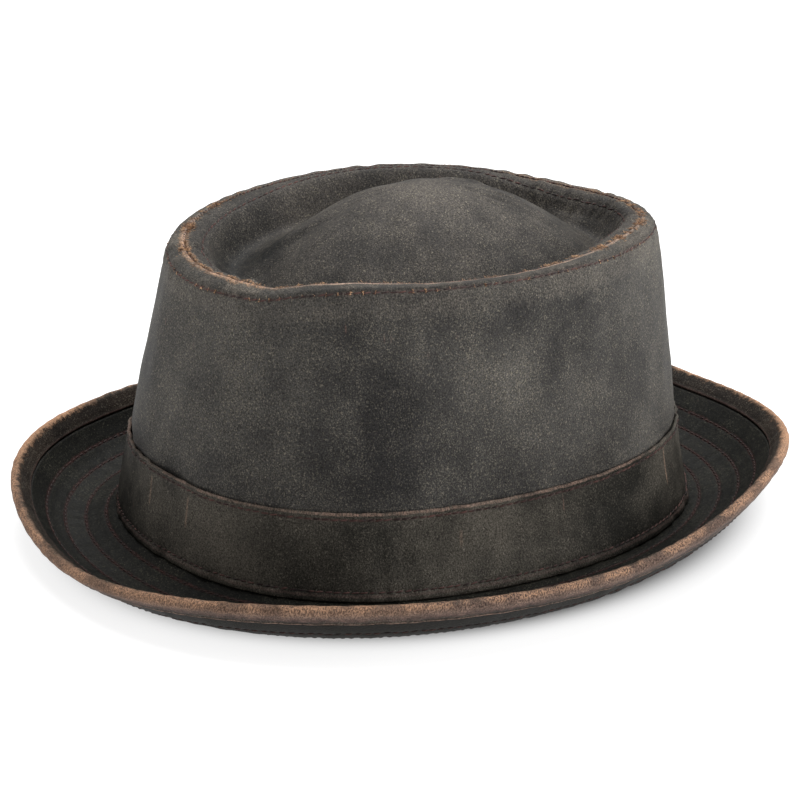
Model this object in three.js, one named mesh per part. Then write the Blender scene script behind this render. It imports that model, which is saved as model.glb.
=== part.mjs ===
// A porkpie hat of waxed cotton cloth: a tapered crown with a rolled rim and a long dome in its
// tip, a plain band, and a turned-up brim whose edge is bound with a folded strip.
// Lengths are in millimetres. The hat rests on the plane z = 0, its front faces -Y and the
// wearer's left is +X.

import * as THREE from 'three';

// Cloth
const crownWall = 2.0;
const bandWall = 1.2;
const brimWall = 2.6;
const bindingWall = 1.0;
const seamGap = 0.3;

// Plan of the crown: half sizes of its outer face at three levels, the ridge seam last
const footHalfLength = 99.3;
const footHalfWidth = 80.2;
const bandTopHalfLength = 95.7;
const bandTopHalfWidth = 73.6;
const ridgeHalfLength = 83.2;
const ridgeHalfWidth = 62.5;
const ridgeSetBack = 3.3;

// Shape of the ovals: fuller corners at the foot, a front half a little wider than the back half
const footFullness = 0.05;
const frontWidening = 0.06;

// Heights
const ridgeHeight = 105;
const bandHeight = 28;
const creaseDepth = 14;
const domeRise = 27.8;

// Rolled rim of the crown
const rimReach = 6.8;
const rimFall = 0.7;
const shoulderReach = 6.6;
const shoulderFall = 9;
const creaseInset = 15.2;
const domeSetBack = 2.5;
const domeSharpness = 1.14;

// Brim, measured along its cloth from the foot of the band
const brimWidth = 40.8;
const curlShare = 0.82;
const bindingWidth = 8;
const bindingProud = 0.6;
const brimWave = 0.8;

// Faces round the hat
const segments = 60;

// Both tables go round the hat from its front to its back, and each side mirrors the other.
// Brim: the slopes of its upper face in degrees, at the band and at the edge, and the height of
// its lowest ring above the table as a share of brimWave. What would lie lower is pressed flat.
const brimRound = [
  { place: 'front', rootSlope: -27.5, edgeSlope: 37, ring: -0.9 },
  { place: 'front corner', rootSlope: -20, edgeSlope: 51.5, ring: 0.8 },
  { place: 'side', rootSlope: -10, edgeSlope: 47.5, ring: -0.4 },
  { place: 'back corner', rootSlope: 9.5, edgeSlope: 55.5, ring: -0.6 },
  { place: 'back', rootSlope: 5, edgeSlope: 31, ring: -0.4 },
];

// Crown: the height of the ridge seam as a share of ridgeHeight, and the crease in the tip, its
// distance inside the seam as a share of creaseInset and its depth as a share of creaseDepth.
const crownRound = [
  { place: 'front', ridge: 0.97, inset: 1.12, depth: 1.2 },
  { place: 'front corner', ridge: 0.997, inset: 1.08, depth: 1.14 },
  { place: 'side', ridge: 0.998, inset: 1, depth: 1 },
  { place: 'back corner', ridge: 0.974, inset: 0.93, depth: 0.85 },
  { place: 'back', ridge: 0.935, inset: 0.91, depth: 0.79 },
];

// From the ridge seam inwards to the crease: the distance from the seam and the depth below it,
// as shares of the crease's own.
const rimSection = [
  { place: 'inner stitch line', inset: 0.4, depth: 0.05 },
  { place: 'fold', inset: 0.51, depth: 0.15 },
  { place: 'inner wall', inset: 0.66, depth: 0.5 },
  { place: 'foot of the inner wall', inset: 0.81, depth: 0.86 },
  { place: 'crease', inset: 1, depth: 1 },
];

// Rows of vertices, as shares of the stretch that each list covers
const bandRows = [0, 0.33, 0.67, 1];
const wallRows = [0.5, 1];
const rimRows = [0.33, 0.67, 1];
const domeRows = [0.92, 0.8, 0.62, 0.42, 0.2];
const brimRows = [0.17, 0.34, 0.5, 0.66, 0.82, 1];

const angles = Array.from({ length: segments }, (_, i) => (2 * Math.PI * i) / segments);
const up = new THREE.Vector3(0, 0, 1);

// A column of a table at one angle round the hat, on a smooth curve through its rows
function shapeAt(table, column, angle) {
  const last = table.length - 1;
  const fromFront = Math.acos(-Math.sin(angle)) / Math.PI;
  const position = fromFront * last;
  const row = Math.min(Math.floor(position), last - 1);
  const t = position - row;
  const mirrored = (i) => table[last - Math.abs(last - Math.abs(i))][column];
  const [a, b, c, d] = [row - 1, row, row + 1, row + 2].map(mirrored);
  const linear = c - a;
  const square = 2 * a - 5 * b + 4 * c - d;
  const cube = 3 * (b - c) + d - a;
  return b + 0.5 * t * (linear + t * (square + t * cube));
}

// A point of an oval seen from above
function ovalPoint(halfLength, halfWidth, angle, fullness = 0) {
  const full = 1 + fullness * Math.sin(2 * angle) ** 2;
  const x = full * halfWidth * Math.cos(angle) * (1 - frontWidening * Math.sin(angle));
  return new THREE.Vector3(x, full * halfLength * Math.sin(angle), 0);
}

// The direction straight out of the crown's foot, seen from above
function outward(angle) {
  const step = 0.01;
  const before = ovalPoint(footHalfLength, footHalfWidth, angle - step, footFullness);
  const after = ovalPoint(footHalfLength, footHalfWidth, angle + step, footFullness);
  return after.sub(before).cross(up).normalize();
}

const raised = (point, height) => point.clone().setZ(height);
const moved = (point, direction, distance) => point.clone().addScaledVector(direction, distance);
const degrees = THREE.MathUtils.degToRad;

// The slope of the brim's upper face at a distance from the band
function brimSlope(angle, distance) {
  const root = degrees(shapeAt(brimRound, 'rootSlope', angle));
  const edge = degrees(shapeAt(brimRound, 'edgeSlope', angle));
  const share = THREE.MathUtils.smoothstep(distance, 0, curlShare * brimWidth);
  return root + (edge - root) * share;
}

// How far out and up the brim's upper face has come at a distance along its cloth
function brimTravel(angle, distance) {
  if (distance <= 0) return { reach: distance, rise: 0, slope: 0 };
  const steps = 24;
  const step = distance / steps;
  let reach = 0;
  let rise = 0;
  for (let i = 0; i < steps; i += 1) {
    const slope = brimSlope(angle, (i + 0.5) * step);
    reach += step * Math.cos(slope);
    rise += step * Math.sin(slope);
  }
  return { reach, rise, slope: brimSlope(angle, distance) };
}

// The height of the brim's upper face at the band, which puts its lowest ring on the table
function rootHeight(angle) {
  const distances = [0, ...brimRows.map((share) => share * curlShare * brimWidth)];
  const lowest = Math.min(...distances.map((distance) => {
    const { rise, slope } = brimTravel(angle, distance);
    return rise - brimWall * Math.cos(slope);
  }));
  return brimWave * shapeAt(brimRound, 'ring', angle) - lowest;
}

// Everything that the sections below need at each angle
const stations = angles.map((angle) => {
  const out = outward(angle);
  const root = rootHeight(angle);
  const footOval = ovalPoint(footHalfLength, footHalfWidth, angle, footFullness);
  const foot = raised(footOval, root + seamGap);
  const bandTopOval = ovalPoint(bandTopHalfLength, bandTopHalfWidth, angle, footFullness);
  const bandTop = raised(bandTopOval, foot.z + bandHeight);
  const ridgeOval = ovalPoint(ridgeHalfLength, ridgeHalfWidth, angle);
  const ridge = raised(ridgeOval, ridgeHeight * shapeAt(crownRound, 'ridge', angle));
  ridge.y += ridgeSetBack;
  const shoulder = moved(ridge, out, shoulderReach);
  shoulder.z -= shoulderFall;
  const corner = moved(ridge, out, rimReach);
  corner.z -= rimFall;
  const inset = creaseInset * shapeAt(crownRound, 'inset', angle);
  const depth = creaseDepth * shapeAt(crownRound, 'depth', angle);
  return { angle, out, root, foot, bandTop, shoulder, corner, ridge, inset, depth };
});

// The outer face of the crown's side. Levels 0 to 1 lie under the band, 1 to 2 above it.
function wallPoint({ foot, bandTop, shoulder }, level) {
  if (level >= 1) return bandTop.clone().lerp(shoulder, level - 1);
  const rise = shoulder.clone().sub(bandTop);
  const straight = (l) => moved(bandTop, rise, ((l - 1) * bandHeight) / rise.z);
  const flare = foot.clone().sub(straight(0));
  return moved(straight(level), flare, (1 - level) ** 2);
}

// The rolled top of the crown's side, from its shoulder to just short of the ridge seam
function rimPoint({ shoulder, corner, ridge, out }, share) {
  const seam = moved(ridge, out, seamGap / 2);
  const curve = new THREE.QuadraticBezierCurve3(shoulder, corner, seam);
  return curve.getPoint(share);
}

// A point of the brim: distance along the cloth, and depth below its upper face
function brimPoint({ angle, out, root, foot }, distance, depth) {
  const { reach, rise, slope } = brimTravel(angle, distance);
  const bandFoot = moved(foot, out, seamGap + bandWall);
  const sideways = reach + depth * Math.sin(slope);
  return raised(moved(bandFoot, out, sideways), root + rise - depth * Math.cos(slope));
}

// The normals of a face given as rings of points, first ring to last
function ringNormals(rings) {
  const last = rings.length - 1;
  return rings.map((ring, i) => ring.map((_, j) => {
    const next = (j + 1) % segments;
    const previous = (j + segments - 1) % segments;
    const along = ring[next].clone().sub(ring[previous]);
    const across = rings[Math.min(i + 1, last)][j].clone().sub(rings[Math.max(i - 1, 0)][j]);
    return along.cross(across).normalize();
  }));
}

// The other face of a cloth, one wall behind the given one, with its edges cut square
function backFace(rings, wall, edges) {
  const normals = ringNormals(rings);
  if (edges.first) normals[0] = edges.first;
  if (edges.last) normals[rings.length - 1] = edges.last;
  return rings.map((ring, i) => ring.map((point, j) => moved(point, normals[i][j], -wall)));
}

// Triangles between neighbouring rings
function stitchRings(triangles, from, to) {
  for (let j = 0; j < segments; j += 1) {
    const next = (j + 1) % segments;
    triangles.push(from + j, from + next, to + next);
    triangles.push(from + j, to + next, to + j);
  }
}

function solidGeometry(points, triangles) {
  const geometry = new THREE.BufferGeometry().setFromPoints(points);
  geometry.setIndex(triangles);
  geometry.computeVertexNormals();
  return geometry;
}

// A ring-shaped solid: its section runs outwards below and back inwards above
function ringSolid(rings) {
  const triangles = [];
  rings.forEach((_, i) => {
    stitchRings(triangles, i * segments, ((i + 1) % rings.length) * segments);
  });
  return solidGeometry(rings.flat(), triangles);
}

// A bowl-shaped solid: rings from below the centre, out round the edge and back above it
function bowlSolid(lowCentre, rings, highCentre) {
  const triangles = [];
  const low = rings.length * segments;
  const high = low + 1;
  const top = low - segments;
  for (let i = 0; i < rings.length - 1; i += 1) {
    stitchRings(triangles, i * segments, (i + 1) * segments);
  }
  for (let j = 0; j < segments; j += 1) {
    const next = (j + 1) % segments;
    triangles.push(low, next, j);
    triangles.push(top + j, top + next, high);
  }
  return solidGeometry([...rings.flat(), lowCentre, highCentre], triangles);
}

const ringOf = (pointAt) => stations.map(pointAt);

function crownSide() {
  const levels = [...bandRows, ...wallRows.map((share) => 1 + share)];
  const face = [
    ...levels.map((level) => ringOf((station) => wallPoint(station, level))),
    ...rimRows.map((share) => ringOf((station) => rimPoint(station, share))),
  ];
  const back = backFace(face, crownWall, {
    first: ringOf(({ out }) => out),
    last: ringOf(() => up),
  });
  return ringSolid([...face, ...back.reverse()]);
}

function crownTip() {
  const insetPoint = ({ ridge, out, inset, depth }, share, fall) => {
    const point = moved(ridge, out, -share * inset);
    point.z -= fall * depth;
    return point;
  };
  const creases = ringOf((station) => insetPoint(station, 1, 1));
  const creaseHeight = creases.reduce((sum, point) => sum + point.z, 0) / segments;
  const centre = new THREE.Vector3(0, ridgeSetBack + domeSetBack, creaseHeight);
  const domePoint = (crease, share) => {
    const point = centre.clone().lerp(crease, share);
    point.z = creaseHeight + (crease.z - creaseHeight) * share ** 2;
    point.z += domeRise * (1 - share ** 2) ** domeSharpness;
    return point;
  };
  const face = [
    ringOf(({ ridge, out }) => moved(ridge, out, -seamGap / 2)),
    ...rimSection.map(({ inset, depth }) => ringOf(
      (station) => insetPoint(station, inset, depth),
    )),
    ...domeRows.map((share) => creases.map((crease) => domePoint(crease, share))),
  ];
  const back = backFace(face, crownWall, { first: ringOf(() => up) });
  const top = domePoint(centre, 0);
  return bowlSolid(moved(top, up, -crownWall), [...back.reverse(), ...face], top);
}

function hatBand() {
  const faceAt = (level, distance) => ringOf(
    (station) => moved(wallPoint(station, level), station.out, distance),
  );
  const outer = bandRows.map((level) => faceAt(level, seamGap + bandWall));
  const inner = bandRows.map((level) => faceAt(level, seamGap));
  return ringSolid([...outer, ...inner.reverse()]);
}

// The brim is thinner inside its binding, which leaves the binding only a little proud
const brimMiddle = brimWall / 2;
const bindingHalf = brimMiddle + bindingProud;
const slotHalf = bindingHalf - bindingWall;
const boundHalf = slotHalf - seamGap;
const bindingStart = brimWidth - bindingWidth;
const noseCentre = brimWidth - bindingHalf;

function brim() {
  const collar = crownWall + seamGap + bandWall;
  const open = [-collar, 0, ...brimRows.map((share) => share * bindingStart)];
  const boundEnd = noseCentre - seamGap;
  const bound = [bindingStart, (bindingStart + boundEnd) / 2, boundEnd];
  const upperAt = (distance, depth) => ringOf(
    (station) => brimPoint(station, distance, depth),
  );
  const onTable = (point) => raised(point, Math.max(point.z, 0));
  const lowerAt = (distance, depth) => upperAt(distance, depth).map(onTable);
  return ringSolid([
    ...open.map((distance) => lowerAt(distance, brimWall)),
    ...bound.map((distance) => lowerAt(distance, brimMiddle + boundHalf)),
    ...bound.toReversed().map((distance) => upperAt(distance, brimMiddle - boundHalf)),
    ...open.toReversed().map((distance) => upperAt(distance, 0)),
  ]);
}

function brimBinding() {
  const start = bindingStart + seamGap;
  const middle = (start + noseCentre) / 2;
  const nose = [-90, -45, 0, 45, 90].map((turn) => [
    noseCentre + bindingHalf * Math.cos(degrees(turn)),
    -bindingHalf * Math.sin(degrees(turn)),
  ]);
  const section = [
    [start, bindingHalf],
    [middle, bindingHalf],
    ...nose,
    [middle, -bindingHalf],
    [start, -bindingHalf],
    [start, -slotHalf],
    [middle, -slotHalf],
    [noseCentre, -slotHalf],
    [noseCentre + slotHalf, 0],
    [noseCentre, slotHalf],
    [middle, slotHalf],
    [start, slotHalf],
  ];
  return ringSolid(section.map(([distance, below]) => ringOf(
    (station) => brimPoint(station, distance, brimMiddle + below),
  )));
}

const waxedCloth = (color, roughness) => new THREE.MeshStandardMaterial({
  color,
  roughness,
  metalness: 0,
});

function piece(name, geometry, material) {
  const mesh = new THREE.Mesh(geometry, material);
  mesh.name = name;
  return mesh;
}

const hat = new THREE.Group();
hat.add(
  piece('crown_side', crownSide(), waxedCloth(0x403e3a, 0.8)),
  piece('crown_tip', crownTip(), waxedCloth(0x43413c, 0.8)),
  piece('hat_band', hatBand(), waxedCloth(0x2f2c26, 0.75)),
  piece('brim', brim(), waxedCloth(0x272521, 0.78)),
  piece('brim_binding', brimBinding(), waxedCloth(0x4b3a2c, 0.85)),
);

// The middle of the brim's outline stands over the origin
const outline = new THREE.Box3().setFromObject(hat);
hat.position.x = -(outline.min.x + outline.max.x) / 2;
hat.position.y = -(outline.min.y + outline.max.y) / 2;

export default hat;
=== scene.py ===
"""A worn porkpie hat of waxed cotton cloth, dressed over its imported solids.

Lengths are in metres, in the frame of the solids: the hat rests on z = 0, its front faces -Y
and the wearer's left is +X. Each cloth is a grid rolled round the hat ring by ring, with its
seams puckered into it. Stitches and frayed fibres are modelled once and copied along seams.
"""

import logging
import math
from dataclasses import dataclass, field
from enum import Enum
from typing import Callable, Iterable, Sequence

import bmesh
import bpy
import numpy as np
from mathutils import Matrix, Vector


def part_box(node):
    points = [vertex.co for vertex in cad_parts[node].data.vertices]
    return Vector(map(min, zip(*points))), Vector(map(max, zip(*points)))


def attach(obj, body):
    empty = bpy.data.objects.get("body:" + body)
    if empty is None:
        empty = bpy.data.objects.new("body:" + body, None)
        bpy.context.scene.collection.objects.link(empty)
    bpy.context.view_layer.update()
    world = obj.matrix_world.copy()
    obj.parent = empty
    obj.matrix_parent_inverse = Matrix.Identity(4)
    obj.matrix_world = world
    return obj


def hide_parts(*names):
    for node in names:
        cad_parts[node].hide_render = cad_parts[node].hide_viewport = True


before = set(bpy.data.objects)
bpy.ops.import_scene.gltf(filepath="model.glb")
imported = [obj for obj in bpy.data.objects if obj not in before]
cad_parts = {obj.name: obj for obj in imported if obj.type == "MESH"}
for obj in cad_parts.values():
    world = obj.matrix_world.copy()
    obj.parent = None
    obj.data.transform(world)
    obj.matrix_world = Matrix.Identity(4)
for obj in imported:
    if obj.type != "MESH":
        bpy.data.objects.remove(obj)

logging.basicConfig(level=logging.INFO, format="%(message)s")
log = logging.getLogger("porkpie_hat")

MM = 0.001
TURN = 2 * math.pi
UV_NAME = "cloth"
INSIDE_NAME = "inside"
BODY = "root"
UP = np.array([0.0, 0.0, 1.0])

# Places round the hat, in degrees, as the camera sees them
LEFT_END, RIGHT_END, NEAR_SIDE = 236, 56, 326

EDGE_TURNS = tuple(math.radians(turn) for turn in (40, 90, 140))

Value = float | np.ndarray


# Shape


def unit(vectors: np.ndarray) -> np.ndarray:
    """Returns the vectors at length one."""
    return vectors / np.linalg.norm(vectors, axis=-1, keepdims=True)


def interpolated(at: Value, places: np.ndarray, points: np.ndarray) -> np.ndarray:
    """Returns points of a line by their places along it."""
    return np.stack([np.interp(at, places, points[:, k]) for k in range(3)], -1)


def between(table: np.ndarray, position: Value) -> np.ndarray:
    """Returns rows of a table, also such as lie between two of its rows."""
    position = np.asarray(position, float)
    low = np.minimum(position.astype(int), len(table) - 2)
    share = (position - low).reshape(position.shape + (1,) * (table.ndim - 1))
    return table[low] * (1 - share) + table[low + 1] * share


def smoothstep(value: Value, low: Value, high: Value) -> np.ndarray:
    """Returns a share that rises smoothly from 0 at low to 1 at high."""
    share = np.clip((value - low) / (high - low), 0, 1)
    return share * share * (3 - 2 * share)


def hump(value: np.ndarray, centre: Value, width: Value) -> np.ndarray:
    """Returns a bell of height one round a centre."""
    return np.exp(-(((value - centre) / width) ** 2))


@dataclass(frozen=True)
class Ripple:
    """Soft unevenness of cloth: waves round the hat whose lengths lie between two bounds."""

    seed: int
    shortest: float
    longest: float
    girth: float = 0.5
    slant: float = 0.5
    waves: int = 28

    def at(self, angle: np.ndarray, along: np.ndarray) -> np.ndarray:
        """Gives the height of the waves.

        Args:
            angle: Places round the hat, in radians.
            along: Distances along the section, in metres.

        Returns:
            Heights with a spread of about one.
        """
        rng = np.random.default_rng(self.seed)
        lengths = np.exp(rng.uniform(math.log(self.shortest), math.log(self.longest), self.waves))
        phases = rng.uniform(0, TURN, self.waves)
        leans = rng.normal(0, self.slant, self.waves)
        height = np.zeros(np.broadcast(angle, along).shape)
        for length, phase, lean in zip(lengths, phases, leans):
            count = max(1, round(self.girth / length))
            height += np.cos(count * angle + phase + lean * TURN * along / length)
        return height * math.sqrt(2 / self.waves)


@dataclass(frozen=True)
class Unevenness:
    """Heights that a worn cloth has at places round the hat.

    Attributes:
        heights: Pairs of a place in degrees and a height in millimetres.
        soft: How far the heights run into each other, in degrees.
    """

    heights: tuple[tuple[float, float], ...]
    soft: float = 3.0

    def at(self, angle: np.ndarray) -> np.ndarray:
        """Returns the heights at some places, in metres."""
        places, heights = zip(*self.heights)
        total, height = 0.0, 0.0
        for offset in np.linspace(-2, 2, 9):
            weight = math.exp(-0.5 * offset**2)
            degrees = np.degrees(angle) + offset * self.soft
            height = height + weight * np.interp(degrees, places, heights, period=360)
            total += weight
        return height / total * MM


RIDGE_SAG = Unevenness(
    (
        (10, -1.0), (25, -0.3), (36, 0.3), (60, -0.1), (72, -0.3), (80, 0.2), (90, 0.1), (99, -0.6),
        (108, -1.4), (116, -1.7), (124, -1.6), (132, -1.0), (140, -0.2), (148, 0.3), (158, 0.7),
        (170, 0.7), (185, 0.1), (197, -0.5), (212, -0.8), (225, -0.9), (236, -0.9), (250, -0.4),
        (262, 0), (280, 0.2), (290, -0.7), (296, -1.5), (301, -0.3), (308, 0.7), (316, 1.2),
        (324, 0.8), (331, 0), (338, -0.5), (350, -1.0), (358, -1.2),
    ),
    1.6,
)
OUTER_LIFT = Unevenness(
    (
        (0, 2.6), (8, 2.3), (14, 1.8), (20, 1.1), (28, 0.5), (36, 0), (50, -0.2), (70, 0),
        (120, 0.2), (160, 0), (200, 0.2), (240, 0), (265, -0.5), (285, -0.6), (295, 0.4),
        (303, 0.7), (310, 1.0), (318, 1.5), (328, 2.0), (336, 2.6), (345, 2.8),
    )
)
INNER_LIFT = Unevenness(
    (
        (0, -2.3), (12, -2.0), (24, -1.0), (36, 0), (55, 1.0), (75, 0.4), (100, -0.6), (112, -0.6),
        (125, 0.3), (140, 1.2), (172, 1.5), (190, 1.2), (202, 0.3), (225, -0.4), (245, 0), (265, 0),
        (280, -0.8), (292, -2.0), (310, -2.3), (335, -2.4),
    )
)
INNER_SEAM = Unevenness(
    (
        (0, 6.4), (50, 6.2), (100, 5.8), (122, 5.4), (142, 4.5), (182, 4.4), (204, 6.0), (240, 6.4),
        (300, 6.4),
    ),
    5.0,
)
EDGE_LIFT = Unevenness(
    (
        (56, 0), (63, 0.4), (72, 1.1), (77, 1.8), (86, 2.3), (92, 1.9), (100, 0.6), (115, 0.2),
        (180, 0.4), (202, 1.4), (211, 0.8), (220, 1.4), (228, 1.9), (236, 1.6), (248, 1.0),
        (262, 0.3), (275, 0), (330, 0),
    )
)
EDGE_PULL = Unevenness(
    (
        (200, 0), (235, 0), (243, 1.0), (249, 1.7), (262, 1.6), (268, 1.0), (274, 0.6), (282, -0.2),
        (295, 0), (60, 0),
    )
)

RIDGE_FRAY = Unevenness(
    (
        (0, 0.3), (20, 0.6), (34, 1.4), (52, 1.4), (64, 0.8), (80, 0.6), (100, 0.2), (125, 0.05),
        (190, 0.05), (215, 0.3), (225, 1.0), (240, 1.3), (262, 1.2), (276, 0.5), (296, 0.35),
        (312, 0.15), (335, 0.15), (350, 0.15),
    )
)
HOLE_FRAY = Unevenness(
    ((0, 0.3), (30, 0.5), (60, 0.2), (230, 0.1), (262, 0.5), (290, 1), (326, 1), (336, 0.15))
)
FRONT_BULGE = ((60, 1.4), (77, 1.3), (91, 0.7), (98, 0), (104, -0.9))
BACK_BULGE = ((77, 0), (90, -0.7), (98, -1.0), (104, -0.7))

BRIM_ROUND = {
    "root_slope": (-27.5, -20, -10, 9.5, 5),
    "edge_slope": (37, 51.5, 47.5, 55.5, 31),
    "ring": (-0.9, 0.8, -0.4, -0.6, -0.4),
}
CROWN_ROUND = {
    "ridge": (0.97, 0.997, 0.998, 0.974, 0.935),
    "inset": (1.12, 1.08, 1, 0.93, 0.91),
    "depth": (1.2, 1.14, 1, 0.85, 0.79),
}
RIM_SECTION = ((0, 0), (0.4, 0.05), (0.51, 0.15), (0.66, 0.5), (0.81, 0.86), (1, 1))


def shape_at(column: Sequence[float], angle: np.ndarray) -> np.ndarray:
    """Reads a column that goes from the front of the hat to its back.

    Args:
        column: Values at equal steps, mirrored on the other side.
        angle: Places round the hat, in radians.

    Returns:
        The values on a smooth curve through the column.
    """
    last = len(column) - 1
    position = np.arccos(np.clip(-np.sin(angle), -1, 1)) / math.pi * last
    row = np.minimum(np.floor(position).astype(int), last - 1)
    share = position - row
    table = np.array(column, float)
    a, b, c, d = (table[last - abs(last - abs(row + step))] for step in (-1, 0, 1, 2))
    linear, square, cube = c - a, 2 * a - 5 * b + 4 * c - d, 3 * (b - c) + d - a
    return b + 0.5 * share * (linear + share * (square + share * cube))


@dataclass(frozen=True)
class HatShape:
    """The sizes that the cloths of the hat share with its solids."""

    crown_wall: float = 2.0 * MM
    band_wall: float = 1.2 * MM
    brim_wall: float = 2.6 * MM
    binding_wall: float = 1.0 * MM
    seam_gap: float = 0.3 * MM
    foot_half_length: float = 99.3 * MM
    foot_half_width: float = 80.2 * MM
    band_top_half_length: float = 95.7 * MM
    band_top_half_width: float = 73.6 * MM
    ridge_half_length: float = 83.2 * MM
    ridge_half_width: float = 62.5 * MM
    ridge_set_back: float = 3.3 * MM
    foot_fullness: float = 0.05
    front_widening: float = 0.06
    ridge_height: float = 105 * MM
    band_height: float = 28 * MM
    crease_depth: float = 14 * MM
    dome_rise: float = 27.8 * MM
    rim_reach: float = 6.8 * MM
    rim_fall: float = 0.7 * MM
    shoulder_reach: float = 6.6 * MM
    shoulder_fall: float = 9 * MM
    crease_inset: float = 15.2 * MM
    dome_set_back: float = 2.5 * MM
    dome_sharpness: float = 1.14
    brim_width: float = 40.8 * MM
    curl_share: float = 0.82
    binding_width: float = 8 * MM
    binding_proud: float = 0.6 * MM
    brim_wave: float = 0.8 * MM
    flat_brim: float = 14 * MM

    def oval(
        self, half_length: float, half_width: float, angle: np.ndarray, fullness: float = 0
    ) -> np.ndarray:
        """Gives points of an oval seen from above.

        Args:
            half_length: Half its size from front to back.
            half_width: Half its size from side to side.
            angle: Places round the hat, in radians.
            fullness: How far its corners swell, as a share.

        Returns:
            The points at height zero.
        """
        full = 1 + fullness * np.sin(2 * angle) ** 2
        x = full * half_width * np.cos(angle) * (1 - self.front_widening * np.sin(angle))
        return np.stack([x, full * half_length * np.sin(angle), np.zeros_like(angle)], -1)

    def foot_oval(self, angle: np.ndarray) -> np.ndarray:
        """Returns the outer foot of the crown, seen from above."""
        return self.oval(self.foot_half_length, self.foot_half_width, angle, self.foot_fullness)


class Stations:
    """Places round the hat, from the middle of its back, with what each section needs there."""

    def __init__(self, shape: HatShape, count: int, set_back: float) -> None:
        """Works out the frame of every section.

        Args:
            shape: The sizes of the hat.
            count: How many places there are.
            set_back: How far the hat's ovals lie behind the origin.
        """
        self.shape = shape
        self.count = count
        self.angle = TURN * (0.25 + np.arange(count) / count)
        self.shift = np.array([0, set_back, 0])
        step = 0.01
        chord = shape.foot_oval(self.angle + step) - shape.foot_oval(self.angle - step)
        self.out = unit(np.cross(chord, UP))
        self.lift, self.pull = EDGE_LIFT.at(self.angle), EDGE_PULL.at(self.angle)
        self._travel()
        self.root = self._root()
        self.foot = shape.foot_oval(self.angle) + self.shift
        self.foot[:, 2] = self.root + shape.seam_gap
        self.band_top = self.shift + shape.oval(
            shape.band_top_half_length, shape.band_top_half_width, self.angle, shape.foot_fullness
        )
        self.band_top[:, 2] = self.foot[:, 2] + shape.band_height
        self.ridge = self.shift + shape.oval(
            shape.ridge_half_length, shape.ridge_half_width, self.angle
        )
        self.ridge[:, 1] += shape.ridge_set_back
        self.ridge[:, 2] = shape.ridge_height * shape_at(CROWN_ROUND["ridge"], self.angle)
        self.shoulder = self.ridge + shape.shoulder_reach * self.out - shape.shoulder_fall * UP
        self.corner = self.ridge + shape.rim_reach * self.out - shape.rim_fall * UP
        self.inset = shape.crease_inset * shape_at(CROWN_ROUND["inset"], self.angle)
        self.depth = shape.crease_depth * shape_at(CROWN_ROUND["depth"], self.angle)

    def facing(self, side: float) -> np.ndarray:
        """Returns how much each place faces a side, given in degrees, from 0 to 1."""
        return 0.5 + 0.5 * np.cos(self.angle - math.radians(side))

    def _travel(self) -> None:
        """Follows the brim's upper face outwards, in small steps."""
        self.steps = 240
        stride = self.shape.brim_width / self.steps
        slope = self._slope((np.arange(self.steps) + 0.5) * stride)
        start = np.zeros((1, self.count))
        self.reach = np.concatenate([start, np.cumsum(stride * np.cos(slope), 0)])
        self.rise = np.concatenate([start, np.cumsum(stride * np.sin(slope), 0)])

    def _slope(self, distance: np.ndarray) -> np.ndarray:
        """Returns the slopes of the brim's upper face, distances by places."""
        root = np.radians(shape_at(BRIM_ROUND["root_slope"], self.angle))
        edge = np.radians(shape_at(BRIM_ROUND["edge_slope"], self.angle))
        curled = self.shape.curl_share * self.shape.brim_width
        share = smoothstep(np.atleast_1d(distance), 0, curled)
        return root + (edge - root) * share[:, None]

    def _root(self) -> np.ndarray:
        """Returns the height of the brim's upper face at the band."""
        shares = np.array([0, 0.17, 0.34, 0.5, 0.66, 0.82, 1])
        distances = shares * self.shape.curl_share * self.shape.brim_width
        rise = between(self.rise, distances / self.shape.brim_width * self.steps)
        lowest = (rise - self.shape.brim_wall * np.cos(self._slope(distances))).min(0)
        return self.shape.brim_wave * shape_at(BRIM_ROUND["ring"], self.angle) - lowest

    def brim(self, distance: float, depth: float) -> np.ndarray:
        """Gives a ring of the brim.

        Args:
            distance: Distance along the cloth from the band.
            depth: Depth below the upper face.

        Returns:
            One point for each place.
        """
        shape = self.shape
        if distance <= 0:
            reach, rise, slope = distance, 0.0, np.zeros(self.count)
        else:
            row = distance / shape.brim_width * self.steps
            reach, rise = between(self.reach, row), between(self.rise, row)
            slope = self._slope(np.array([distance]))[0]
        held = smoothstep(distance, shape.flat_brim, shape.brim_width)
        sideways = shape.seam_gap + shape.band_wall + reach + depth * np.sin(slope)
        sideways = sideways - held * self.pull
        points = self.foot + sideways[:, None] * self.out
        points[:, 2] = self.root + rise - depth * np.cos(slope) + held * self.lift
        return points

    def wall(self, level: float) -> np.ndarray:
        """Gives a ring of the crown's outer face.

        Args:
            level: 0 at the foot, 1 at the top of the band and 2 at the shoulder.

        Returns:
            One point for each place.
        """
        if level >= 1:
            return self.band_top + (level - 1) * (self.shoulder - self.band_top)
        rise = self.shoulder - self.band_top
        scale = self.shape.band_height / rise[:, 2:]
        flare = self.foot - (self.band_top - rise * scale)
        return self.band_top + rise * (level - 1) * scale + flare * (1 - level) ** 2

    def rim(self, share: float, fullness: float = 1.7) -> np.ndarray:
        """Gives a ring of the rolled rim.

        Args:
            share: 0 at the shoulder and 1 at the ridge seam.
            fullness: How close the roll keeps to its corner.

        Returns:
            One point for each place.
        """
        seam = self.ridge + self.shape.seam_gap / 2 * self.out
        weights = ((1 - share) ** 2, 2 * fullness * share * (1 - share), share**2)
        total = sum(weights)
        return sum(w / total * p for w, p in zip(weights, (self.shoulder, self.corner, seam)))

    def tip(self, inset: float, depth: float) -> np.ndarray:
        """Gives a ring inside the ridge seam, by shares of the crease's inset and depth."""
        points = self.ridge - (inset * self.inset)[:, None] * self.out
        points[:, 2] -= depth * self.depth
        return points

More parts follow.
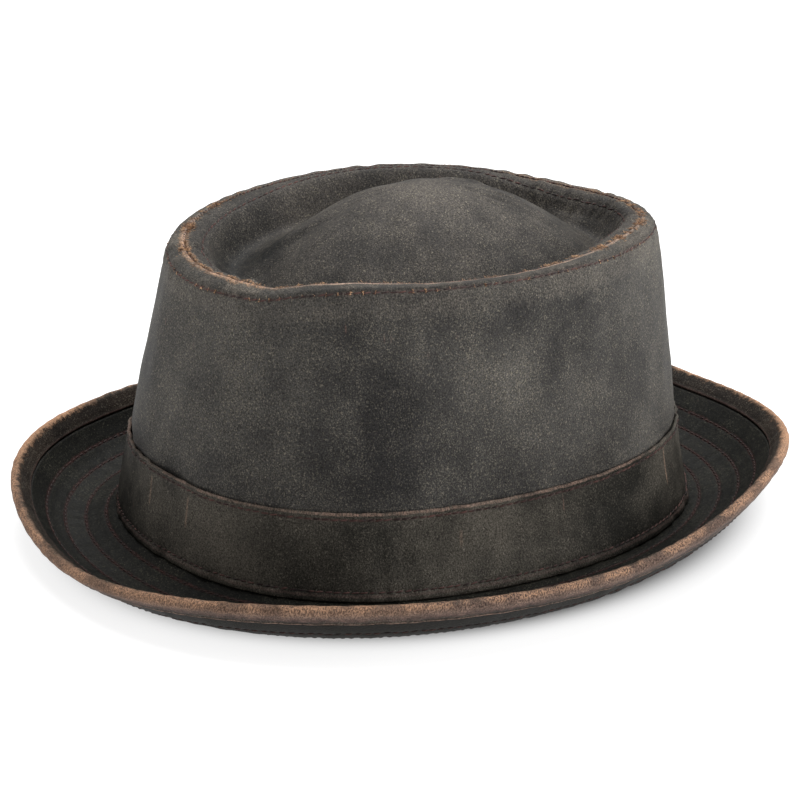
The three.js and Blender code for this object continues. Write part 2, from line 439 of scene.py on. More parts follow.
    def dome(self, share: float) -> np.ndarray:
        """Returns a ring of the dome, by its share of the way from the centre to the crease."""
        creases = self.tip(1, 1)
        height = creases[:, 2].mean()
        centre = self.shift + [0, self.shape.ridge_set_back + self.shape.dome_set_back, height]
        points = centre + share * (creases - centre)
        points[:, 2] = height + (creases[:, 2] - height) * share**2
        points[:, 2] += self.shape.dome_rise * (1 - share**2) ** self.shape.dome_sharpness
        return points


@dataclass
class Sheet:
    """One cloth as rings of points, rows by places by xyz, and where each row lies on it."""

    rings: np.ndarray
    along: np.ndarray
    inside: np.ndarray

    @staticmethod
    def lengths(rings: np.ndarray) -> np.ndarray:
        """Returns the distance along the section from the first ring, rows by places."""
        steps = np.linalg.norm(np.diff(rings, axis=0), axis=-1)
        return np.concatenate([np.zeros((1, rings.shape[1])), np.cumsum(steps, 0)])

    @classmethod
    def spread(cls, rings: np.ndarray, rows: int, soft: float = 0) -> np.ndarray:
        """Puts rows at equal steps along a section and rounds its kinks.

        Args:
            rings: The section as rings.
            rows: How many rows to make.
            soft: How far the rounding reaches, in metres.

        Returns:
            The new rings.
        """
        length = cls.lengths(rings)
        fine = 400
        result = np.empty((fine, *rings.shape[1:]))
        for j in range(rings.shape[1]):
            targets = np.linspace(0, length[-1, j], fine)
            result[:, j] = interpolated(targets, length[:, j], rings[:, j])
        if soft:
            sigma = soft / (length[-1].mean() / fine)
            reach = int(3 * sigma) + 1
            kernel = np.exp(-0.5 * (np.arange(-reach, reach + 1) / sigma) ** 2)
            kernel /= kernel.sum()
            before = 2 * result[0] - result[reach:0:-1]
            after = 2 * result[-1] - result[-2 : -reach - 2 : -1]
            padded = np.concatenate([before, result, after])
            result = sum(w * padded[i : i + fine] for i, w in enumerate(kernel))
        return between(result, np.linspace(0, fine - 1, rows))

    @staticmethod
    def normals(rings: np.ndarray) -> np.ndarray:
        """Returns the outward directions of a face given as rings."""
        round_hat = np.roll(rings, -1, 1) - np.roll(rings, 1, 1)
        across = np.gradient(rings, axis=0)
        normal = np.cross(round_hat, across)
        length = np.linalg.norm(normal, axis=-1, keepdims=True)
        nothing = 1e-12
        normal = normal / np.maximum(length, nothing)
        normal[length[..., 0] < nothing] = UP
        return normal

    @classmethod
    def lined(
        cls, face: np.ndarray, along: np.ndarray, wall: float, bulges: tuple[float, float | None]
    ) -> "Sheet":
        """Gives a face its wall and its rounded edges.

        Args:
            face: Rings of the outer face.
            along: Where each point lies along the section.
            wall: Thickness of the cloth.
            bulges: How round the first and the last edge are, from 0 to 1, or None for no edge.

        Returns:
            A closed section: the face, its last edge, the inner face and the first edge.
        """
        normal = cls.normals(face)
        back = face - wall * normal

        def edge(row: int, beside: int, bulge: float | None) -> list[np.ndarray]:
            """Returns the rings that round off the edge at one row."""
            if bulge is None:
                return []
            middle = (face[row] + back[row]) / 2
            forward = bulge * unit(face[row] - face[beside])
            ways = [math.cos(t) * normal[row] + math.sin(t) * forward for t in EDGE_TURNS]
            return [middle + wall / 2 * way for way in ways]

        first, last = edge(0, 1, bulges[0])[::-1], edge(-1, -2, bulges[1])
        parts = (
            (face, along, 0.0),
            (last, [along[-1]] * len(last), 0.0),
            (back[::-1], along[::-1], 1.0),
            (first, [along[0]] * len(first), 0.0),
        )
        rings = [ring for part, _, _ in parts for ring in part]
        alongs = [row for _, rows, _ in parts for row in rows]
        inside = [under for part, _, under in parts for _ in part]
        return cls(np.array(rings), np.array(alongs), np.array(inside))

    def trace(self, distance: Value, inside: bool = False) -> tuple[np.ndarray, np.ndarray]:
        """Finds a line on the cloth.

        Args:
            distance: Where the line lies along the section, at every place or at each.
            inside: Whether it is on the inner face.

        Returns:
            The line's points and the outward directions there.
        """
        rows = np.flatnonzero(self.inside == float(inside))
        rings, along, normal = self.rings[rows], self.along[rows], self.normals(self.rings)[rows]
        points = np.empty(rings.shape[1:])
        ways = np.empty(rings.shape[1:])
        at = np.broadcast_to(distance, rings.shape[1])
        for j in range(rings.shape[1]):
            order = np.argsort(along[:, j], kind="stable")
            points[j] = interpolated(at[j], along[order, j], rings[order, j])
            ways[j] = interpolated(at[j], along[order, j], normal[order, j])
        return points, unit(ways)


# Modelling


def deselect() -> None:
    """Leaves edit mode and deselects every object."""
    if bpy.context.mode != "OBJECT":
        bpy.ops.object.mode_set(mode="OBJECT")
    bpy.ops.object.select_all(action="DESELECT")


def roll_cloth(name: str, sheet: Sheet, girth: float) -> bpy.types.Object:
    """Rolls a flat grid into a closed cloth and sews its edges together.

    Args:
        name: Name of the piece.
        sheet: Rings of the cloth.
        girth: Length round the hat that the pattern of the cloth has.

    Returns:
        The piece, with a UV map in metres.
    """
    rows, columns = sheet.rings.shape[:2]
    deselect()
    bpy.ops.mesh.primitive_grid_add(
        x_subdivisions=columns, y_subdivisions=rows, size=2, calc_uvs=True
    )
    piece = bpy.context.object
    piece.name = piece.data.name = name
    mesh = piece.data
    flat = np.empty(len(mesh.vertices) * 3)
    mesh.vertices.foreach_get("co", flat)
    flat = flat.reshape(-1, 3)
    column = np.rint((flat[:, 0] + 1) / 2 * columns).astype(int)
    row = np.rint((flat[:, 1] + 1) / 2 * rows).astype(int)
    place = (row % rows, column % columns)
    mesh.vertices.foreach_set("co", sheet.rings[place].ravel())
    loops = np.empty(len(mesh.loops), np.int32)
    mesh.loops.foreach_get("vertex_index", loops)
    uv = np.stack([column / columns * girth, sheet.along[place]], -1)[loops]
    layer = mesh.uv_layers[0]
    layer.name = UV_NAME
    layer.data.foreach_set("uv", uv.ravel())
    inside = mesh.attributes.new(INSIDE_NAME, "FLOAT", "POINT")
    inside.data.foreach_set("value", sheet.inside[row % rows].astype(np.float32))
    bpy.ops.object.mode_set(mode="EDIT")
    bpy.ops.mesh.select_all(action="SELECT")
    bpy.ops.mesh.remove_doubles(threshold=1e-6)
    bpy.ops.mesh.delete_loose(use_verts=True, use_edges=True, use_faces=False)
    bpy.ops.object.mode_set(mode="OBJECT")
    bpy.ops.object.shade_smooth()
    return piece


@dataclass(frozen=True)
class Strand:
    """A short round thread that is modelled once and copied."""

    length: float
    radius: float
    bow: float
    sides: int = 5
    joints: int = 4
    taper: float = 0.55

    def model(self) -> tuple[np.ndarray, list[tuple[int, ...]]]:
        """Models the strand along X, bowed towards Z.

        Returns:
            Its points and faces.
        """
        deselect()
        part = self.length / self.joints
        bpy.ops.mesh.primitive_cylinder_add(
            vertices=self.sides, radius=self.radius, depth=part, end_fill_type="NGON"
        )
        strand = bpy.context.object
        bpy.ops.object.mode_set(mode="EDIT")
        grown = bmesh.from_edit_mesh(strand.data)
        for _ in range(self.joints - 1):
            bpy.ops.mesh.select_all(action="DESELECT")
            top = max(grown.faces, key=lambda face: face.calc_center_median().z)
            top.select_set(True)
            bmesh.update_edit_mesh(strand.data)
            bpy.ops.mesh.extrude_region_move(TRANSFORM_OT_translate={"value": (0, 0, part)})
            grown = bmesh.from_edit_mesh(strand.data)
        start = min(v.co.z for v in grown.verts)
        for v in grown.verts:
            share = (v.co.z - start) / self.length * 2 - 1
            thin = 1 - (1 - self.taper) * share**2
            bowed = v.co.x * thin + self.bow * (1 - share**2)
            v.co = (share * self.length / 2, v.co.y * thin, bowed)
        bmesh.update_edit_mesh(strand.data)
        bpy.ops.mesh.select_all(action="SELECT")
        bpy.ops.mesh.normals_make_consistent(inside=False)
        bpy.ops.object.mode_set(mode="OBJECT")
        points = np.array([v.co[:] for v in strand.data.vertices])
        faces = [tuple(p.vertices) for p in strand.data.polygons]
        bpy.data.objects.remove(strand)
        return points, faces


def copy_strands(name: str, strand: Strand, places: np.ndarray) -> bpy.types.Object:
    """Copies a strand to many places and joins the copies.

    Args:
        name: Name of the piece.
        strand: The strand that is copied.
        places: One 4 x 3 array for each copy: its three directions and its centre.

    Returns:
        The joined piece.
    """
    points, faces = strand.model()
    placed = np.einsum("pk,nkx->npx", points, places[:, :3]) + places[:, None, 3]
    count = len(points)
    copies = [tuple(i + n * count for i in face) for n in range(len(places)) for face in faces]
    mesh = bpy.data.meshes.new(name)
    mesh.from_pydata(placed.reshape(-1, 3).tolist(), [], copies)
    piece = bpy.data.objects.new(name, mesh)
    bpy.context.scene.collection.objects.link(piece)
    deselect()
    piece.select_set(True)
    bpy.context.view_layer.objects.active = piece
    bpy.ops.object.shade_smooth()
    return piece


@dataclass(frozen=True)
class StitchRow:
    """A row of machine stitches along a line on a cloth."""

    pitch: float = 3.0 * MM
    thread: float = 0.28 * MM
    fill: float = 0.86
    lean: float = 7.0
    sink: float = 0.1 * MM
    seed: int = 1

    def frames(self, line: np.ndarray, normal: np.ndarray) -> np.ndarray:
        """Places the stitches at equal steps.

        Args:
            line: Points of the line, round the hat.
            normal: Outward directions on the line.

        Returns:
            One frame for each stitch.
        """
        closed = np.concatenate([line, line[:1]])
        steps = np.linalg.norm(np.diff(closed, axis=0), axis=-1)
        length = np.concatenate([[0], np.cumsum(steps)])
        count = round(length[-1] / self.pitch)
        rng = np.random.default_rng(self.seed)
        at = (np.arange(count) + 0.5) / count * length[-1]
        at = at + rng.normal(0, 0.04 * self.pitch, count)
        ways = np.concatenate([normal, normal[:1]])
        centre = interpolated(at, length, closed)
        up = unit(interpolated(at, length, ways))
        front = interpolated(at + 0.4 * self.pitch, length, closed) - centre
        front = unit(front - (front * up).sum(-1, keepdims=True) * up)
        side = np.cross(up, front)
        lean = np.radians(self.lean + rng.normal(0, 3, count))[:, None]
        turned = np.cos(lean) * front + np.sin(lean) * side
        return np.stack([turned, np.cross(up, turned), up, centre - self.sink * up], 1)

    def lay(self, name: str, line: np.ndarray, normal: np.ndarray) -> bpy.types.Object:
        """Returns the row of stitches as one piece."""
        strand = Strand(self.pitch * self.fill, self.thread, 0.9 * self.thread)
        return copy_strands(name, strand, self.frames(line, normal))


# Materials


Colour = tuple[float, float, float, float]

# Scales of the noises, in waves to the metre
PATCH, CLOUD, GAP, RAG = 17, 75, 95, 420
FLECK, GRAIN, STRAND, HAIR, TWIST = 1500, 1900, 2300, 2700, 4200


def srgb(red: int, green: int, blue: int) -> Colour:
    """Returns a colour from its values on a screen, 0 to 255."""
    tone = [c / 255 for c in (red, green, blue)]
    light = [c / 12.92 if c <= 0.04045 else ((c + 0.055) / 1.055) ** 2.4 for c in tone]
    return (*light, 1.0)


def operator(operation: str, swapped: bool = False) -> Callable[["Wire", "Wire | float"], "Wire"]:
    """Makes a method of a wire that adds a Math node.

    Args:
        operation: What the node does.
        swapped: Whether the other value comes first.

    Returns:
        The method.
    """

    def apply(wire: "Wire", other: "Wire | float") -> "Wire":
        """Returns what the node gives for both values."""
        return wire.graph.math(operation, *((other, wire) if swapped else (wire, other)))

    return apply


@dataclass(frozen=True)
class Wire:
    """A socket of a shader, with its graph, that takes part in Python expressions."""

    graph: "Graph"
    socket: bpy.types.NodeSocket

    __add__, __radd__ = operator("ADD"), operator("ADD", True)
    __sub__, __rsub__ = operator("SUBTRACT"), operator("SUBTRACT", True)
    __mul__, __rmul__ = operator("MULTIPLY"), operator("MULTIPLY", True)
    __truediv__ = operator("DIVIDE")

    def __abs__(self) -> "Wire":
        """Returns the size without its sign."""
        return self.graph.math("ABSOLUTE", self)


class Graph:
    """A material and the nodes that are added to it."""

    def __init__(self, name: str) -> None:
        """Starts an empty material."""
        self.material = bpy.data.materials.new(name)
        self.material.use_nodes = True
        self.tree = self.material.node_tree
        self.tree.nodes.clear()

    def node(
        self, kind: str, settings: dict | None = None, inputs: dict | None = None
    ) -> bpy.types.Node:
        """Adds a node.

        Args:
            kind: The node's type.
            settings: Properties, set first.
            inputs: Values or wires by the name or number of the socket.

        Returns:
            The node.
        """
        node = self.tree.nodes.new(kind)
        for key, value in (settings or {}).items():
            setattr(node, key, value)
        for key, value in (inputs or {}).items():
            socket = node.inputs[key]
            if isinstance(value, Wire):
                self.tree.links.new(value.socket, socket)
            else:
                socket.default_value = value
        return node

    def wire(self, node: bpy.types.Node, output: str | int = 0) -> Wire:
        """Returns one output of a node."""
        return Wire(self, node.outputs[output])

    def math(self, operation: str, *values: "Wire | float") -> Wire:
        """Returns the result of a Math node."""
        inputs = dict(enumerate(values))
        return self.wire(self.node("ShaderNodeMath", {"operation": operation}, inputs))

    def vector(self, operation: str, inputs: dict, output: str = "Vector") -> Wire:
        """Returns the result of a Vector Math node."""
        node = self.node("ShaderNodeVectorMath", {"operation": operation}, inputs)
        return self.wire(node, output)

    def clamp(self, value: Wire) -> Wire:
        """Returns the value held between 0 and 1."""
        return self.wire(self.node("ShaderNodeClamp", None, {"Value": value}))

    def smooth(self, value: Wire, low: float, high: float) -> Wire:
        """Returns a share that rises smoothly from 0 at low to 1 at high."""
        settings = {"interpolation_type": "SMOOTHSTEP"}
        inputs = {"Value": value, "From Min": low, "From Max": high}
        return self.wire(self.node("ShaderNodeMapRange", settings, inputs))

    def mix(self, share: "Wire | float", first: "Wire | tuple", second: "Wire | tuple") -> Wire:
        """Returns a colour between two colours."""
        inputs = {0: share, 6: first, 7: second}
        return self.wire(self.node("ShaderNodeMix", {"data_type": "RGBA"}, inputs), 2)

    def place(self) -> Wire:
        """Returns the place on the hat, in metres."""
        return self.wire(self.node("ShaderNodeTexCoord"), "Object")

    def uv(self) -> Wire:
        """Returns the place on the cloth, in metres."""
        return self.wire(self.node("ShaderNodeUVMap", {"uv_map": UV_NAME}))

    def distance(self, vector: Wire, place: tuple[float, float, float]) -> Wire:
        """Returns the distance from a fixed place."""
        return self.vector("DISTANCE", {0: vector, 1: place}, "Value")

    def dotted(self, vector: Wire, way: tuple[float, float, float]) -> Wire:
        """Returns how far a vector goes in a fixed direction."""
        return self.vector("DOT_PRODUCT", {0: vector, 1: way}, "Value")

    def part(self, vector: Wire, axis: int) -> Wire:
        """Returns one part of a vector."""
        return self.wire(self.node("ShaderNodeSeparateXYZ", None, {0: vector}), axis)

    def stretched(self, vector: Wire, scale: tuple[float, float, float], turn: float = 0) -> Wire:
        """Returns a vector that is turned about Z, in degrees, and then scaled."""
        inputs = {"Vector": vector, "Rotation": (0, 0, math.radians(turn))}
        turned = self.wire(self.node("ShaderNodeMapping", None, inputs))
        return self.vector("MULTIPLY", {0: turned, 1: scale})

    def scaled(self, colour: Wire, factor: Wire) -> Wire:
        """Returns a colour made lighter or darker."""
        return self.vector("SCALE", {0: colour, "Scale": factor})

    def noise(self, vector: Wire, scale: float, detail: float = 2, rough: float = 0.5) -> Wire:
        """Returns soft noise between about 0 and 1."""
        inputs = {"Vector": vector, "Scale": scale, "Detail": detail, "Roughness": rough}
        return self.wire(self.node("ShaderNodeTexNoise", None, inputs))

    def finish(
        self, colour: Wire, rough: Wire, height: Wire | float, fixed: dict
    ) -> bpy.types.Material:
        """Joins colour, roughness and height in the shader.

        Args:
            colour: Base colour.
            rough: Roughness.
            height: Height of the surface in metres.
            fixed: Values that are the same all over.

        Returns:
            The material.
        """
        relief = {"Strength": 1.0, "Distance": 1.0, "Height": height}
        bump = self.node("ShaderNodeBump", None, relief)
        inputs = {"Base Color": colour, "Roughness": rough, "Normal": self.wire(bump), **fixed}
        shader = self.node("ShaderNodeBsdfPrincipled", None, inputs)
        self.node("ShaderNodeOutputMaterial", None, {"Surface": self.wire(shader)})
        return self.material


@dataclass(frozen=True)
class Spot:
    """What the nodes of one material share: its graph, its places and its noises."""

    graph: Graph
    place: Wire
    along: Wire
    clouds: Wire
    grain: Wire
    strands: Wire
    ends: Wire

    @classmethod
    def on(cls, graph: Graph) -> "Spot":
        """Adds the shared nodes to a graph and returns them."""
        place, uv = graph.place(), graph.uv()
        across = graph.part(place, 1)
        back = graph.smooth(across, 0, 0.05)
        return cls(
            graph,
            place,
            graph.part(uv, 1),
            graph.noise(place, CLOUD, 4, 0.6),
            graph.noise(place, GRAIN, 2, 0.7),
            graph.noise(graph.stretched(uv, (1, 0.5, 1), 14), STRAND, 2, 0.6),
            graph.smooth(abs(across), 0.058, 0.078) * (1 - 0.3 * back),
        )


@dataclass(frozen=True)
class WornOrShadedStretch:
    """A stretch of cloth that is worn pale or frayed, or darkened as painted shade.

    Attributes:
        at: Where its middle lies along the section, in metres.
        width: How far it reaches from there.
        strength: How much of it shows, from 0 to 1.
        colour: Its colour.
        sides: How much of it shows on the hat's sides, against its front and back.
        gaps: How much of it breaks up into single fibres, from 0 to 1.
        patchy: How much of it is missing in places, from 0 to 1.
        right: How much of it shows on the wearer's right, against the left.
    """

    at: float
    width: float
    strength: float
    colour: Colour
    sides: float = 1.0
    gaps: float = 0.4
    patchy: float = 0.3
    right: float = 1.0

    def shown(self, spot: Spot) -> Wire:
        """Returns how much of it shows."""
        graph, place = spot.graph, spot.place
        ragged = 1.6 * (graph.noise(place, RAG, 3, 0.7) - 0.5) + 1.4 * (spot.strands - 0.5)
        off = abs(spot.along - self.at) / self.width + ragged
        solid = 1 - self.gaps * graph.smooth(spot.strands, 0.56, 0.44)
        kept = 1 - self.patchy * graph.smooth(graph.noise(place, GAP, 2), 0.58, 0.42)
        share = self.sides + (1 - self.sides) * spot.ends
        if self.right != 1:
            left = graph.smooth(graph.dotted(place, (0.83, -0.56, 0)), -0.02, 0.02)
            share = share * (self.right + (1 - self.right) * left)
        return graph.clamp(self.strength * graph.smooth(off, 1.05, 0.45) * solid * kept * share)


@dataclass(frozen=True)
class PaleOrDarkSpot:
    """A round spot where the cloth is made paler, or darker where the amount is below 0; the spots
    marked below are painted top light and painted shade.
    """

    at: tuple[float, float, float]
    reach: float
    amount: float

    def shown(self, spot: Spot) -> Wire:
        """Returns how much it adds."""
        away = spot.graph.distance(spot.place, self.at)
        return self.amount * spot.graph.smooth(away, self.reach, 0)


@dataclass(frozen=True)
class Line:
    """A thin upright line that folding has worn pale.

    Attributes:
        at: Its middle.
        reach: How far it goes up and down from there, in metres.
        strength: How much of it shows, from 0 to 1.
    """

    at: tuple[float, float, float]
    reach: float
    strength: float

    def shown(self, spot: Spot) -> Wire:
        """Returns how much of it shows."""
        graph, size = spot.graph, math.hypot(self.at[0], self.at[1])
        way = (-self.at[1] / size, self.at[0] / size, 0.0)
        beside = abs(graph.dotted(spot.place, way)) + 0.6 * MM * (spot.clouds - 0.5)
        shown = graph.smooth(beside, 0.8 * MM, 0.2 * MM) * graph.smooth(spot.grain, 0.3, 0.5)
        near = graph.smooth(graph.distance(spot.place, self.at), self.reach, 0.6 * self.reach)
        return self.strength * shown * near


@dataclass(frozen=True)
class WaxedCloth:
    """Waxed cotton with wear: dark wax, paler worn patches, fine light fibres and worn seams;
    painted top light makes it paler higher up, and some of its spots and stretches are painted
    shade.
    """

    name: str
    deep: Colour
    pale: Colour
    fibre: Colour = srgb(118, 112, 100)
    dust: float = 0.5
    fleck: float = 0.5
    roughness: float = 0.62
    # Stretches along the section: wear, and the dark ones painted shade.
    worn: tuple[WornOrShadedStretch, ...] = ()
    # Round spots made paler or darker, some of them painted top light and painted shade.
    pale_or_dark_spots: tuple[PaleOrDarkSpot, ...] = ()
    lines: tuple[Line, ...] = ()
    grain: float = 1.6
    shine: float = 0.08
    reverse: Colour = srgb(46, 38, 32)
    scuff: Colour = srgb(150, 112, 100)

    def build(self) -> bpy.types.Material:
        """Builds the material.

        Returns:
            The material.
        """
        graph = Graph(self.name)
        spot = Spot.on(graph)
        place, clouds, grain = spot.place, spot.clouds, spot.grain
        hairs = graph.noise(graph.stretched(place, (1, 1, 0.7), 20), HAIR, 2, 0.6)
        # Share of the pale tone: wear, with painted top light and painted shade.
        wear_and_painted_light = self._wear_and_painted_light_share(spot)
        colour = graph.mix(wear_and_painted_light, self.deep, self.pale)
        flecks = graph.smooth(hairs, 0.5, 0.7) * (0.4 + 0.8 * graph.smooth(clouds, 0.34, 0.62))
        flecks = flecks + 0.9 * graph.smooth(graph.noise(place, FLECK, 1), 0.6, 0.7)
        flecks = self.fleck * flecks * (0.5 + 1.1 * wear_and_painted_light)
        colour = graph.mix(graph.clamp(flecks), colour, self.fibre)
        colour = graph.mix(0.2 * self._scuffs(spot), colour, self.scuff)
        for line in self.lines:
            colour = graph.mix(line.shown(spot), colour, TAN)
        frayed = 0.0
        for worn in self.worn:
            mask = worn.shown(spot)
            colour = graph.mix(mask, colour, worn.colour)
            frayed = graph.math("MAXIMUM", frayed, mask)
        inside = graph.node("ShaderNodeAttribute", {"attribute_name": INSIDE_NAME})
        back = graph.mix(0.5 * clouds + 0.3 * grain, self.deep, self.reverse)
        colour = graph.mix(graph.smooth(graph.wire(inside, "Fac"), 0.4, 0.6), colour, back)
        colour = graph.scaled(colour, 1 + self.grain * (grain - 0.5))
        rough = self.roughness + 0.22 * (wear_and_painted_light - 0.4) + 0.3 * (grain - 0.5) + 0.2 * frayed
        height = 0.12 * MM * grain + 0.06 * MM * hairs + 0.4 * MM * clouds
        height = height + 0.1 * MM * frayed * hairs
        return graph.finish(colour, graph.clamp(rough), height, {"Specular IOR Level": self.shine})

    def _wear_and_painted_light_share(self, spot: Spot) -> Wire:
        """Returns where the wax is worn off, with painted top light that makes the cloth paler
        higher up and painted shade in some darker spots.
        """
        graph, place = spot.graph, spot.place
        patches = graph.smooth(graph.noise(place, PATCH, 3, 0.55), 0.36, 0.66)
        # Paler higher up and darker low down: dust, and painted light from above.
        dust_and_top_light = 0.85 + 0.3 * graph.smooth(graph.part(place, 2), 0.035, 0.118)
        wear_and_painted_light = self.dust * patches * dust_and_top_light + 0.8 * (spot.clouds - 0.3) + 0.8 * (dust_and_top_light - 1)
        for spot_mark in self.pale_or_dark_spots:
            wear_and_painted_light = wear_and_painted_light + spot_mark.shown(spot)
        return graph.clamp(wear_and_painted_light)

    @staticmethod
    def _scuffs(spot: Spot) -> Wire:
        """Returns where short pale scratches lie."""
        graph, place = spot.graph, spot.place
        total = 0.0
        for turn, scale, spread in ((35, 727, 37.3), (-25, 781, 43.9)):
            lines = graph.noise(graph.stretched(place, (1, 1, 0.12), turn), scale, 1)
            where = graph.smooth(graph.noise(place, spread, 2), 0.58, 0.7)
            total = total + graph.smooth(lines, 0.7, 0.8) * where
        return graph.clamp(total)


@dataclass(frozen=True)
class PlainThread:
    """Thread or loose fibre, a little uneven in tone."""

    name: str
    deep: Colour
    pale: Colour
    scale: float = 260
    roughness: float = 0.7

    def build(self) -> bpy.types.Material:
        """Returns the material."""
        graph = Graph(self.name)
        place = graph.place()
        tone = graph.smooth(graph.noise(place, self.scale, 2), 0.35, 0.7)
        twist = graph.noise(place, TWIST, 1)
        colour = graph.mix(tone, self.deep, self.pale)
        rough = self.roughness + 0.2 * (tone - 0.5)
        return graph.finish(colour, rough, 0.08 * MM * twist, {"Specular IOR Level": 0.3})


RUST = srgb(200, 154, 116)
TAN = srgb(138, 116, 100)
ROSE = srgb(146, 120, 107)
BUFF = srgb(178, 152, 134)
MAUVE = srgb(102, 81, 76)
HONEY = srgb(172, 134, 106)
# Dark tone for painted shade along the rim strips.
PAINTED_SHADE = srgb(36, 34, 33)
DUST = srgb(122, 115, 106)
OXBLOOD = srgb(60, 33, 31)
BRIM_ROWS = (3.9 * MM, 11.1 * MM, 18.3 * MM, 25.5 * MM)


class Cloth(Enum):
    """The finishes of the hat's cloths."""

    CROWN = WaxedCloth(
        "crown_cloth",
        srgb(41, 40, 40),
        srgb(82, 80, 77),
        fleck=0.6,
        worn=(
            # The dark stretch along the outer rim strip is painted shade, stronger on the sides.
            WornOrShadedStretch(4.2 * MM, 3.2 * MM, 0.45, PAINTED_SHADE, 1.6, 0.3, 0.6),
            WornOrShadedStretch(3.4 * MM, 2.6 * MM, 0.7, DUST, 0.7, 0.8, 1.0),
            WornOrShadedStretch(6.5 * MM, 0.9 * MM, 0.4, MAUVE, 0.8, 0.6, 0.6),
            WornOrShadedStretch(10 * MM, 6 * MM, 0.4, DUST, 1.0, 0.9, 0.5),
            WornOrShadedStretch(0.8 * MM, 0.9 * MM, 0.45, BUFF, 2.0, 0.5, 0.4, 0.15),
            WornOrShadedStretch(0.6 * MM, 1.9 * MM, 0.6, RUST, 0.0, 1.0, 0.6, 0.5),
        ),
        pale_or_dark_spots=(
            PaleOrDarkSpot((0.037, -0.077, 0.085), 0.03, 0.35),
            PaleOrDarkSpot((0.067, -0.033, 0.08), 0.024, 0.3),
            PaleOrDarkSpot((0.071, -0.015, 0.07), 0.024, 0.5),
            PaleOrDarkSpot((0.072, 0.01, 0.05), 0.03, 0.55),
            PaleOrDarkSpot((0.066, 0.033, 0.061), 0.03, 0.25),
            PaleOrDarkSpot((0.063, 0.051, 0.035), 0.02, 0.3),
            PaleOrDarkSpot((0.064, -0.048, 0.066), 0.016, -0.3),
            PaleOrDarkSpot((0.066, -0.058, 0.042), 0.03, -0.4),
            PaleOrDarkSpot((0.063, 0.051, 0.04), 0.024, 0.25),
            PaleOrDarkSpot((-0.004, -0.093, 0.052), 0.034, 0.5),
        ),
        grain=3.0,
    )
    TIP = WaxedCloth(
        "tip_cloth",
        srgb(34, 34, 34),
        srgb(80, 76, 73),
        fleck=0.6,
        worn=(
            WornOrShadedStretch(0.4 * MM, 1.8 * MM, 0.6, RUST, 0.0, 1.0, 0.6, 0.5),
            WornOrShadedStretch(0, 0.7 * MM, 0.8, ROSE, 0.6, 0.4, 0.3, 0.2),
            # The dark stretch over the tip's inner strip is painted shade, stronger at the front
            # and back.
            WornOrShadedStretch(4.6 * MM, 4.2 * MM, 0.5, PAINTED_SHADE, 0.6, 0.3, 0.5),
        ),
        pale_or_dark_spots=(
            # Paler spot at the top of the dome: painted top light.
            PaleOrDarkSpot((0.006, 0.004, 0.116), 0.03, 0.5),
            PaleOrDarkSpot((0.022, 0.03, 0.106), 0.02, 0.2),
            PaleOrDarkSpot((0.03, 0.062, 0.1), 0.02, 0.25),
            # Darker spot on the tip's front inner wall: painted shade.
            PaleOrDarkSpot((-0.036, -0.05, 0.098), 0.045, -0.45),
            PaleOrDarkSpot((0.0, -0.046, 0.1), 0.024, 0.15),
        ),
        grain=3.3,
    )
    BAND = WaxedCloth(
        "band_cloth",
        srgb(33, 32, 29),
        srgb(92, 87, 79),
        srgb(112, 106, 96),
        dust=0.45,
        fleck=0.5,
        worn=(
            WornOrShadedStretch(0.2 * MM, 0.5 * MM, 0.65, ROSE, 1.0, 0.7, 0.5),
            WornOrShadedStretch(1.9 * MM, 0.7 * MM, 0.35, MAUVE, 1.0, 0.5, 0.5),
            WornOrShadedStretch(26.9 * MM, 0.7 * MM, 0.4, MAUVE, 1.0, 0.5, 0.3),
        ),
        pale_or_dark_spots=(
            PaleOrDarkSpot((0.03, -0.096, 0.016), 0.03, 0.7),
            PaleOrDarkSpot((0.075, -0.019, 0.028), 0.02, 0.4),
            PaleOrDarkSpot((0.066, -0.062, 0.024), 0.022, -0.3),
            PaleOrDarkSpot((0.071, 0.037, 0.018), 0.034, -0.3),
            PaleOrDarkSpot((-0.009, -0.098, 0.029), 0.026, 0.3),
            PaleOrDarkSpot((0.045, -0.09, 0.01), 0.02, 0.3),
        ),
        lines=(
            Line((-0.007, -0.098, 0.0265), 6 * MM, 0.5),
            Line((0.0147, -0.0977, 0.026), 6 * MM, 0.55),
            Line((0.0594, 0.0652, 0.022), 8 * MM, 0.6),
            Line((0.0735, -0.03, 0.022), 4 * MM, 0.3),
        ),
        grain=3.4,
    )
    BRIM = WaxedCloth(
        "brim_cloth",
        srgb(15, 15, 13),
        srgb(32, 31, 27),
        srgb(86, 84, 72),
        dust=0.3,
        fleck=0.5,
        worn=tuple(WornOrShadedStretch(row, 0.8 * MM, 0.6, OXBLOOD, 1.0, 0.4, 0.3) for row in BRIM_ROWS),
        # Darker spot on the brim at the front, on the wearer's right: painted shade.
        pale_or_dark_spots=(PaleOrDarkSpot((-0.047, -0.101, 0.025), 0.04, -0.5),),
        grain=5.0,
        reverse=srgb(36, 33, 29),
    )
    BINDING = WaxedCloth(
        "binding_cloth",
        srgb(27, 22, 19),
        srgb(60, 48, 40),
        dust=0.4,
        worn=(
            WornOrShadedStretch(6.4 * MM, 5.0 * MM, 0.8, MAUVE, 1.0, 0.6),
            WornOrShadedStretch(7.6 * MM, 4.6 * MM, 0.6, TAN, 1.0, 0.9, 0.5),
            WornOrShadedStretch(9.2 * MM, 2.0 * MM, 0.7, HONEY, 1.0, 0.9, 0.95),
            WornOrShadedStretch(8.8 * MM, 3.6 * MM, 0.35, HONEY, 0.0, 0.6, 0.3, 5.0),
            WornOrShadedStretch(0.4 * MM, 0.7 * MM, 0.8, ROSE, 1.0, 0.3),
            WornOrShadedStretch(17.4 * MM, 0.6 * MM, 0.5, MAUVE, 1.0, 0.5),
        ),
        grain=2.0,
    )


